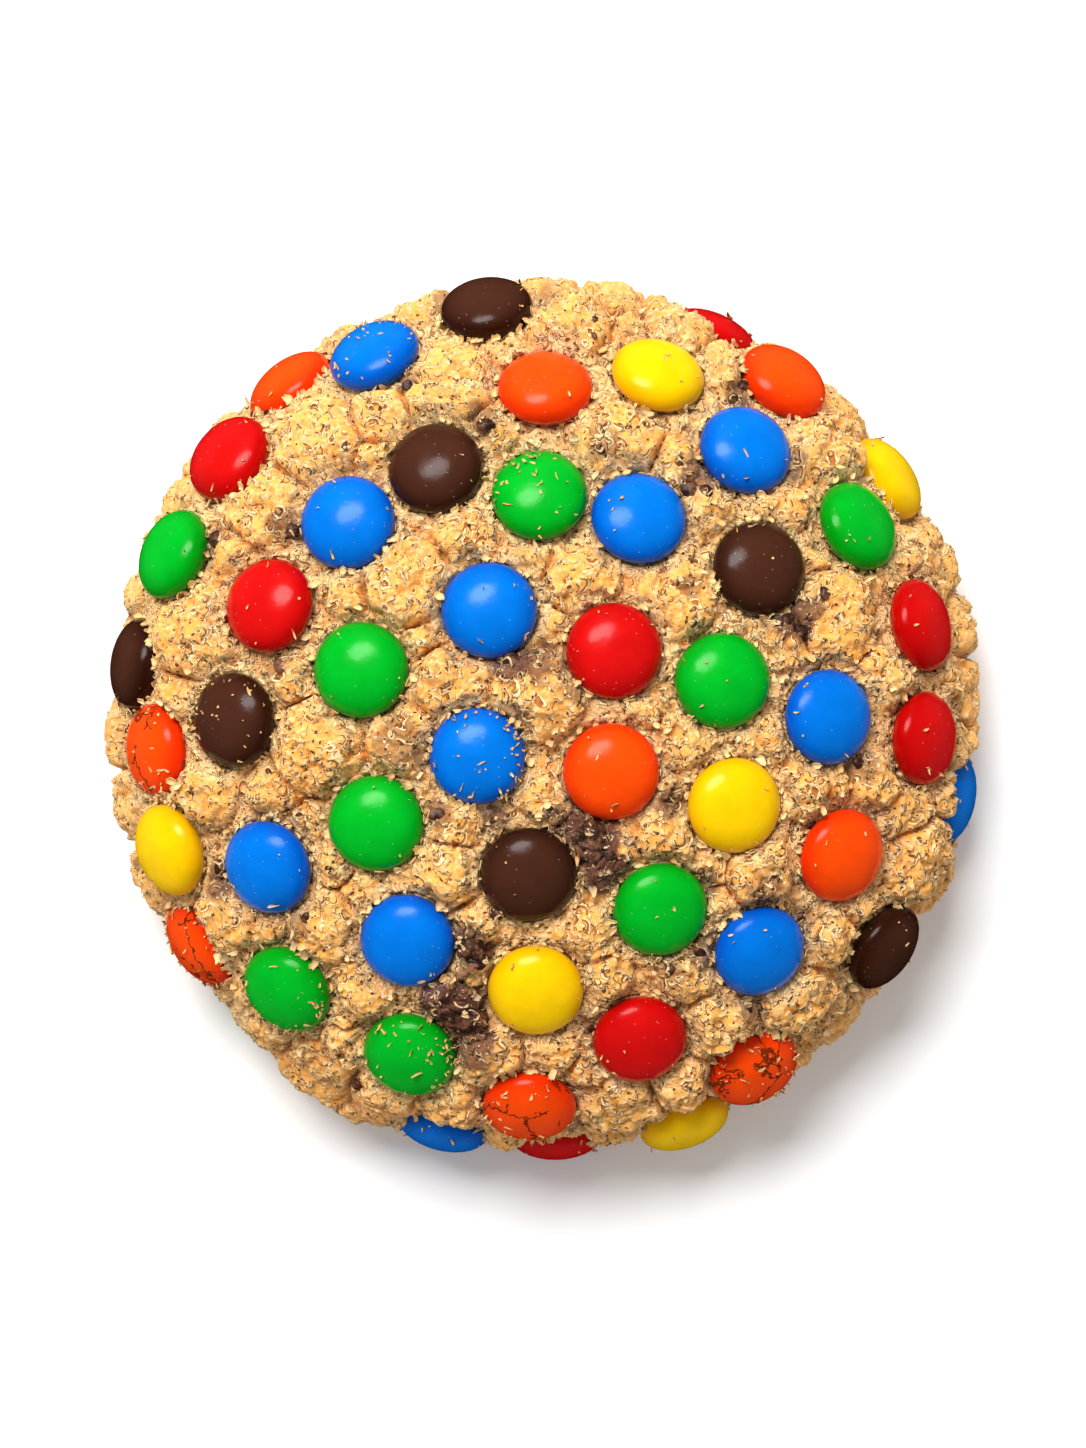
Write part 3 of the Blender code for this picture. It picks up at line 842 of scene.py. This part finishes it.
def make_crumbs(buttons, finish, box):
    """Small bits of crumb that lie on the shells, most near the rims of the dusty ones."""
    draw = np.random.default_rng(CRUMB_SEED)
    dusty = np.array([button.short in DUSTY for button in buttons])
    owner = np.repeat(np.arange(len(buttons)), np.where(dusty, DUSTY_CRUMBS, CLEAN_CRUMBS))
    count = len(owner)
    centres, axes = discs(buttons, owner)
    side = unit(np.cross(axes, ASLANT))
    drift = draw.uniform(0, math.tau, len(buttons))[owner][:, None]
    turn = drift + draw.normal(0, 1.0, (count, 1)) * draw.choice(FAR, (count, 1), p=FAR_ODDS)
    plan = side * np.cos(turn) + np.cross(axes, side) * np.sin(turn)
    inset = np.abs(draw.normal(0, 0.16, (count, 1))) * draw.choice(FAR, (count, 1), p=FAR_ODDS)
    out = clamp(0.97 - inset)
    high = np.sqrt(1 - out**2)
    root = centres + plan * out * BUTTON_RADIUS + axes * HALF_THICKNESS * high
    normal = unit(plan * out / BUTTON_RADIUS + axes * high / HALF_THICKNESS)
    x = unit(np.cross(normal, draw.normal(0, 1, (count, 3))))
    local = flake_sheet(count, CRUMB_ROWS, draw)
    local[:, :, 0] *= 0.2 + np.clip(draw.exponential(0.32, (count, 1)), 0, 1.2)
    local[:, :, 1] *= draw.uniform(0.12, 0.38, (count, 1))
    turns = np.stack([x, np.cross(normal, x), normal], axis=2)
    base = np.array(PALE) * draw.uniform(0.7, 1.0, (count, 1))
    lay_flakes("shell_crumbs", turns, local, root, base, draw, finish, box, (centres, axes))


def make_loose_flakes(laid, finish, box):
    """Curled flakes that stand up from the mounds, most at their edges."""
    points, normals, gap, _, colours, crest = laid
    draw = np.random.default_rng(LOOSE_SEED)
    wanted = (gap > LOOSE_GAP) & (points[:, 2] > LOOSE_LOWEST) & (normals[:, 2] > 0.5)
    weight = wanted * (0.25 + bell(crest - 0.3, 0.2))
    chosen = draw.choice(len(points), LOOSE_FLAKES, replace=False, p=weight / weight.sum())
    count, outward = len(chosen), normals[chosen]
    x = unit(np.cross(outward, draw.normal(0, 1, (count, 3))))
    x = unit(x + outward * draw.uniform(0.05, 0.6, (count, 1)))
    y = unit(np.cross(outward, x))
    local = flake_sheet(count, FLAKE_ROWS, draw)
    local[:, :, 0] *= draw.uniform(0.6, 1.6, (count, 1))
    local[:, :, 1] *= draw.uniform(0.5, 1.3, (count, 1))
    turns = np.stack([x, y, np.cross(x, y)], axis=2)
    root = points[chosen] - 0.05 * outward
    lay_flakes("loose_flakes", turns, local, root, colours[chosen], draw, finish, box)


def make_shell(button, finish):
    """A button's smooth sugar shell, a spheroid turned round the button's axis."""
    latitude = np.linspace(math.pi / 2, -math.pi / 2, SHELL_RINGS + 1)[1:-1, None]
    turn = np.arange(SHELL_SIDES) / SHELL_SIDES * math.tau
    ring_r = BUTTON_RADIUS * np.cos(latitude)
    ring_z = HALF_THICKNESS * np.sin(latitude) + 0 * turn
    rings = np.stack([ring_r * np.cos(turn), ring_r * np.sin(turn), ring_z], axis=2).reshape(-1, 3)
    local = np.vstack([rings, [[0, 0, HALF_THICKNESS], [0, 0, -HALF_THICKNESS]]])
    side = unit(np.cross(button.axis, ASLANT))
    turned = np.column_stack([side, np.cross(button.axis, side), button.axis])
    points = local @ turned.T + button.centre
    i = np.arange(SHELL_SIDES)
    j = (i + 1) % SHELL_SIDES
    faces = []
    for ring in range(SHELL_RINGS - 2):
        a, b = ring * SHELL_SIDES, (ring + 1) * SHELL_SIDES
        faces += [(a + i, b + i, b + j), (a + i, b + j, a + j)]
    top, bottom = len(points) - 2, len(points) - 1
    last = (SHELL_RINGS - 2) * SHELL_SIDES
    faces += [(top + 0 * i, i, j), (bottom + 0 * i, last + j, last + i)]
    # How near the rim each point lies; the shell's material paints shade by it
    rim = 1 - np.abs(local[:, 2]) / HALF_THICKNESS
    cracked = np.full(len(points), float(button.short in CRACKED))
    piece = mesh_piece(f"shell_{button.name}", points, triangles(*faces), rim=rim, cracked=cracked)
    dress(piece, finish, f"shell_{button.colour}", button.name)


def make_chunk(name, node, finish):
    """A chocolate chunk: the CAD lump, divided finely, pitted and roughened."""
    piece = add_object(f"lump_{name}", node.data.copy())
    finer = piece.modifiers.new("finer", "SUBSURF")
    finer.subdivision_type = "SIMPLE"
    finer.levels = CHUNK_LEVELS
    fine = bpy.data.meshes.new_from_object(piece.evaluated_get(bpy.context.evaluated_depsgraph_get()))
    bpy.data.objects.remove(piece)
    points = np.array([v.co for v in fine.vertices]) / MM
    faces = np.array([list(p.vertices) for p in fine.polygons])
    outward = unit(points - points.mean(axis=0))
    near, other, owner = cell_pattern(points, CHUNK_GRAIN, CHUNK_SEED)
    level = lattice_draw(owner, CHUNK_SEED, CHUNK_CHANNEL) - 0.6
    pits = cloud(points, CHUNK_PITS, CHUNK_SEED + 1) - 0.6
    rise = 0.45 * level - 0.3 * bell(other - near, 0.12) + 0.5 * pits
    piece = mesh_piece(f"lump_{name}", points + outward * rise[:, None], faces)
    dress(piece, finish, "chocolate", name)


def make_chips(laid, finish, box):
    """Smooth bits of chocolate, half sunk in the crumb."""
    points, normals = laid[:2]
    lump = bmesh.new()
    bmesh.ops.create_icosphere(lump, subdivisions=3, radius=1.0)
    ball = np.array([v.co for v in lump.verts])
    faces = np.array([[v.index for v in face.verts] for face in lump.faces])
    lump.free()
    draw = np.random.default_rng(CHIP_SEED)
    placed = []
    for x, y, length in CHIPS:
        away = np.hypot(points[:, 0] - CENTRING[0] - x, points[:, 1] - CENTRING[1] - y)
        seat = int((away + OVERHANG_PENALTY * (normals[:, 2] < 0.1)).argmin())
        upward = normals[seat]
        ahead = unit(np.cross(upward, draw.normal(0, 1, 3)))
        turned = np.column_stack([ahead, np.cross(upward, ahead), upward])
        reach = length / 2 * (0.75 + 0.5 * cloud(ball + draw.uniform(0, 50, 3), CHIP_LUMPS, CHIP_FORM_SEED))
        size = (CHIP_STRETCH, draw.uniform(0.7, 1.0), CHIP_FLATNESS)
        placed.append((ball * reach[:, None] * size) @ turned.T + points[seat])
    joined = np.concatenate([faces + i * len(ball) for i in range(len(CHIPS))])
    piece = mesh_piece("chocolate_chips", np.clip(np.concatenate(placed), *box), joined)
    dress(piece, finish, "chocolate")


class Graph:
    """A material's nodes in short form: a method that adds a node returns its output."""

    def __init__(self, name):
        self.material = bpy.data.materials.new(name)
        self.material.use_nodes = True
        self.tree = self.material.node_tree
        self.place = self.scaled(self.add("TexCoord", {}).outputs["Object"], 1 / MM)

    def feed(self, node, inputs):
        """Links or sets inputs of a node, each by its name or number."""
        for key, value in inputs.items():
            if isinstance(value, bpy.types.NodeSocket):
                self.tree.links.new(value, node.inputs[key])
            else:
                node.inputs[key].default_value = value

    def add(self, kind, inputs, **settings):
        """A new node with its settings and inputs."""
        node = self.tree.nodes.new("ShaderNode" + kind)
        for key, value in settings.items():
            setattr(node, key, value)
        self.feed(node, inputs)
        return node

    def attribute(self, name, output):
        """One of the values that the mesh carries at each point."""
        return self.add("Attribute", {}, attribute_name=name).outputs[output]

    def vector(self, operation, first, second):
        node = self.add("VectorMath", {0: first, 1: second}, operation=operation)
        return node.outputs["Value" if operation == "DOT_PRODUCT" else "Vector"]

    def scaled(self, value, factor):
        return self.add("VectorMath", {0: value, "Scale": factor}, operation="SCALE").outputs["Vector"]

    def number(self, operation, first, second):
        return self.add("Math", {0: first, 1: second}, operation=operation).outputs["Value"]

    def times(self, first, second):
        return self.number("MULTIPLY", first, second)

    def less(self, first, second):
        return self.number("SUBTRACT", first, second)

    def noise(self, place, scale, detail=2.0, output="Fac"):
        return self.add("TexNoise", {"Vector": place, "Scale": scale, "Detail": detail}).outputs[output]

    def swirl(self, scale, detail=0.0):
        """A smooth field of pushes to all sides."""
        return self.vector("SUBTRACT", self.noise(self.place, scale, detail, "Color"), (0.5, 0.5, 0.5))

    def moved(self, push, reach):
        """The place on the piece, moved along a push."""
        return self.vector("ADD", self.place, self.scaled(push, reach))

    def cells(self, place, scale, feature="F1"):
        """The node of a pattern of scattered points."""
        return self.add("TexVoronoi", {"Vector": place, "Scale": scale}, feature=feature)

    def ramp(self, value, low, high, start=0.0, end=1.0):
        """Start below low, end above high, smooth between."""
        inputs = {"Value": value, "From Min": low, "From Max": high, "To Min": start, "To Max": end}
        return self.add("MapRange", inputs, interpolation_type="SMOOTHSTEP").outputs["Result"]

    def peak(self, value, middle, half_width, foot):
        """1 where the value is within half_width of the middle, 0 beyond foot."""
        away = self.number("ABSOLUTE", self.less(value, middle), 0.0)
        return self.ramp(away, half_width, foot, 1.0, 0.0)

    def mix(self, share, first, second):
        first, second = ((*value, 1.0) if isinstance(value, tuple) else value for value in (first, second))
        return self.add("Mix", {0: share, 6: first, 7: second}, data_type="RGBA").outputs[2]

    def bump(self, height, depth, below=None):
        """A normal bent by a height of 0 to 1 that stands for depth millimetres, on the one below it."""
        inputs = {"Height": height, "Distance": depth * MM} | ({"Normal": below} if below else {})
        return self.add("Bump", inputs).outputs["Normal"]

    def finish(self, **inputs):
        """Feeds the shader, underscores standing for spaces, and returns the material."""
        shader = self.tree.nodes["Principled BSDF"]
        self.feed(shader, {key.replace("_", " "): value for key, value in inputs.items()})
        return self.material


def folds(g, place, shift, scale, levels):
    """Thin ridges along a smooth field's levels, and the grooves beside them, where shadow is painted."""
    field = g.noise(g.vector("ADD", place, [shift] * 3), scale, 0.0)
    level = g.number("FRACT", g.times(field, levels), 0.0)
    return g.peak(level, 0.5, 0.05, 0.10), g.peak(level, 0.66, 0.04, 0.10)


def curls(g, place, shift, scale):
    """C-shaped ridges, each part of a ring round a scattered point, and the grooves on their inner sides,
    where shadow is painted.
    """
    moved = g.vector("ADD", place, [shift] * 3)
    cells = g.cells(moved, scale)
    radius = g.vector("DOT_PRODUCT", cells.outputs["Color"], (CURL_SPREAD, 0.0, 0.0))
    out = g.less(g.less(cells.outputs["Distance"], radius), CURL_RADIUS)
    facing = g.vector("SUBTRACT", cells.outputs["Color"], (0.5, 0.5, 0.5))
    offset = g.vector("SUBTRACT", moved, cells.outputs["Position"])
    part = g.ramp(g.vector("DOT_PRODUCT", offset, facing), 0.0, 0.07)
    return g.times(g.peak(out, 0.0, 0.045, 0.085), part), g.times(g.peak(out, -0.11, 0.03, 0.075), part)


def dough_material():
    """Baked crumb on each point's tone: pale folds and curls with painted highlight, painted shadow beside
    them, grains with painted glints, dark pores.
    """
    g = Graph("dough")
    mottle = g.ramp(g.noise(g.place, 0.7, 3.0), 0.3, 0.7, 0.96, 1.05)
    tone = g.scaled(g.attribute("tone", "Color"), mottle)
    tone = g.scaled(tone, g.ramp(g.noise(g.place, 4.0, 1.0), 0.35, 0.65, 0.93, 1.05))
    fan = g.attribute("fan", "Fac")
    flaky = g.attribute("flaky", "Fac")
    swirl = g.swirl(0.6)
    fold, shadowed_groove = (g.times(line, fan) for line in folds(g, g.moved(swirl, 2.5), 70.0, 0.30, 9.0))
    height = g.less(fold, shadowed_groove)
    # Painted shadow in the grooves beside the folds, painted highlight on their ridges
    tone = g.mix(g.times(shadowed_groove, 0.75), tone, g.vector("MULTIPLY", tone, FOLD_SHADOW))
    tone = g.mix(g.times(fold, 0.45), tone, RIDGE_HIGHLIGHT)
    rough = g.moved(swirl, 1.2)
    clean = g.ramp(g.vector("DOT_PRODUCT", tone, BRIGHTNESS), 0.08, 0.25, 0.55, 1.0)
    for shift, scale in CURLS:
        ridge, shadowed_groove = curls(g, rough, shift, scale)
        ridge = g.times(g.times(ridge, clean), flaky)
        shadowed_groove = g.times(shadowed_groove, flaky)
        # Painted shadow in the groove inside each curl, painted highlight on its ridge
        tone = g.mix(g.times(shadowed_groove, 0.9), tone, g.vector("MULTIPLY", tone, CURL_SHADOW))
        tone = g.mix(g.times(ridge, 0.8), tone, RIDGE_HIGHLIGHT)
        height = g.number("ADD", height, g.less(ridge, shadowed_groove))
    normal = g.bump(g.noise(g.place, 1.8, 2.0), 0.09)
    normal = g.bump(height, 0.26, normal)
    pores = g.cells(g.moved(swirl, 0.9), 0.80)
    size = g.vector("DOT_PRODUCT", pores.outputs["Color"], (PORE_SPREAD, 0.0, 0.0))
    hole = g.ramp(g.less(pores.outputs["Distance"], size), 0.0, 0.04, 0.9, 0.0)
    tone = g.mix(hole, tone, PORE)
    # Small raised grains, each with a painted glint
    glint_grains = g.cells(g.vector("ADD", g.place, (17.0, 5.0, 9.0)), 1.0)
    grain_and_glint = g.ramp(glint_grains.outputs["Distance"], 0.09, 0.12, 0.9, 0.0)
    tone = g.mix(grain_and_glint, tone, GLINT)
    normal = g.bump(grain_and_glint, 0.15, g.bump(hole, -0.3, normal))
    return g.finish(Base_Color=tone, Normal=normal, Roughness=0.6, Specular_IOR_Level=0.12)


def crumb_material():
    """Torn flakes: the tone of each point, faintly mottled."""
    g = Graph("flakes")
    grain_and_glint = g.noise(g.place, 2.0, 2.0)
    tone = g.scaled(g.attribute("tone", "Color"), g.ramp(grain_and_glint, 0.3, 0.7, 0.88, 1.06))
    return g.finish(Base_Color=tone, Normal=g.bump(grain_and_glint, 0.1), Roughness=0.6, Specular_IOR_Level=0.12)


def shell_material(colour, rgb):
    """Polished sugar shell: its dye, painted brighter on the face and darker to the rim as light and shade,
    specks of dust and, where broken, cracks.
    """
    g = Graph(f"shell_{colour}")
    # Painted light and shade: the dye brighter on the shell's face and deeper towards its rim
    face = tuple(c ** 0.94 for c in rgb)
    rim_shade = tuple(0.86 * c ** 1.2 for c in rgb)
    base = g.mix(g.ramp(g.attribute("rim", "Fac"), 0.1, 0.9), face, rim_shade)
    base = g.scaled(base, g.ramp(g.noise(g.place, 0.26), 0.3, 0.7, 0.93, 1.05))
    speck = g.ramp(g.cells(g.place, 0.8).outputs["Distance"], 0.05, 0.09, 0.5, 0.0)
    base = g.mix(speck, base, tuple(0.5 * c + 0.3 for c in rgb))
    edges = g.cells(g.moved(g.swirl(0.9, 2.0), 2.6), 0.16, "DISTANCE_TO_EDGE")
    line = g.ramp(edges.outputs["Distance"], 0.012, 0.030, 1.0, 0.0)
    part = g.ramp(g.noise(g.place, 0.22, 0.0), 0.45, 0.52)
    cracks_and_gap_shade = g.times(g.times(line, part), g.attribute("cracked", "Fac"))
    base = g.mix(cracks_and_gap_shade, base, CRACK)
    normal = g.bump(g.noise(g.place, 0.5), 0.06)
    normal = g.bump(g.noise(g.place, 5.0), 0.006, normal)
    normal = g.bump(cracks_and_gap_shade, -0.25, normal)
    tint = (*(0.4 + 0.6 * c for c in rgb), 1.0)
    gloss = {"Roughness": 0.2, "Specular_IOR_Level": 0.3, "Specular_Tint": tint}
    return g.finish(Base_Color=base, Normal=normal, **gloss)


def chocolate_material():
    """Dull dark chocolate with paler smears and flakes of crumb stuck to it."""
    g = Graph("chocolate")
    smear = g.noise(g.place, 0.8, 4.0)
    colour = g.mix(g.ramp(smear, 0.4, 0.7), CHOCOLATE, CHOCOLATE_SMEAR)
    flake, _ = curls(g, g.moved(g.swirl(0.6), 1.2), 0.0, 0.45)
    colour = g.mix(g.times(flake, 0.75), colour, CREAM)
    normal = g.bump(flake, 0.2, g.bump(smear, 0.4))
    return g.finish(Base_Color=colour, Normal=normal, Roughness=0.4, Specular_IOR_Level=0.3)


def soft_light(name, direction, power, size):
    """An oval lamp that shines on the cookie from a direction."""
    toward = Vector(direction).normalized()
    data = bpy.data.lights.new(name, "AREA")
    data.shape = "ELLIPSE"
    data.size, data.size_y = size
    data.energy = power
    lamp = add_object(name, data)
    lamp.location = toward * LAMP_DISTANCE
    lamp.rotation_euler = toward.to_track_quat("Z", "Y").to_euler()
    return lamp


def make_studio():
    """A white floor, a softbox beyond the photograph's top edge, a low fill and a pale surround."""
    scene = bpy.context.scene
    scene.view_settings.view_transform = "Standard"
    bpy.ops.mesh.primitive_plane_add(size=FLOOR_SIZE, location=(0, 0, -FLOOR_DROP))
    floor = bpy.context.object
    floor.name = "floor"
    glow = {"Emission_Color": WHITE, "Emission_Strength": FLOOR_GLOW}
    paper = Graph("floor_paper").finish(Base_Color=PAPER, Roughness=0.9, Specular_IOR_Level=0.0, **glow)
    floor.data.materials.append(paper)
    floor.visible_glossy = False

    soft_light("softbox", SOFTBOX_FROM, SOFTBOX_POWER, SOFTBOX_SIZE)
    fill = soft_light("fill", FILL_FROM, FILL_POWER, FILL_SIZE)
    fill.visible_glossy = False

    world = bpy.data.worlds.new("studio")
    world.use_nodes = True
    surround = world.node_tree.nodes["Background"].inputs
    surround["Color"].default_value = WHITE
    surround["Strength"].default_value = SURROUND_STRENGTH
    scene.world = world
    world.cycles_visibility.glossy = False


def make_camera():
    """Looks straight down on the cookie, as the photograph does."""
    data = bpy.data.cameras.new("camera")
    data.sensor_fit = "VERTICAL"
    data.sensor_height = SENSOR_HEIGHT
    data.lens = FOCAL_LENGTH_PX / PHOTO_HEIGHT_PX * SENSOR_HEIGHT
    data.clip_start = CLIP_START * MM
    camera = add_object("camera", data)
    camera.location = (CAMERA_AIM[0] * MM, CAMERA_AIM[1] * MM, CAMERA_HEIGHT * MM)
    bpy.context.scene.camera = camera


def main():
    """Makes every piece, the studio and the camera."""
    box = [np.array(corner) / MM for corner in loaded]
    nodes = sorted(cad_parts.items())
    buttons = [Button(name, node) for name, node in nodes if name.startswith("button")]
    dough = Dough(buttons)
    crumb = dough_material()
    laid = make_skin(dough, Petals(PETAL_COUNT), crumb, box)
    flakes = crumb_material()
    make_fringe(dough, laid, flakes, box)
    make_loose_flakes(laid, flakes, box)
    make_crumbs(buttons, flakes, box)
    shells = {colour: shell_material(colour, rgb) for colour, rgb in SHELLS.items()}
    for button in buttons:
        make_shell(button, shells[button.colour])
    chocolate = chocolate_material()
    for name, node in nodes:
        if name.startswith("chocolate"):
            make_chunk(name, node, chocolate)
    make_chips(laid, chocolate, box)
    make_studio()
    make_camera()


main()
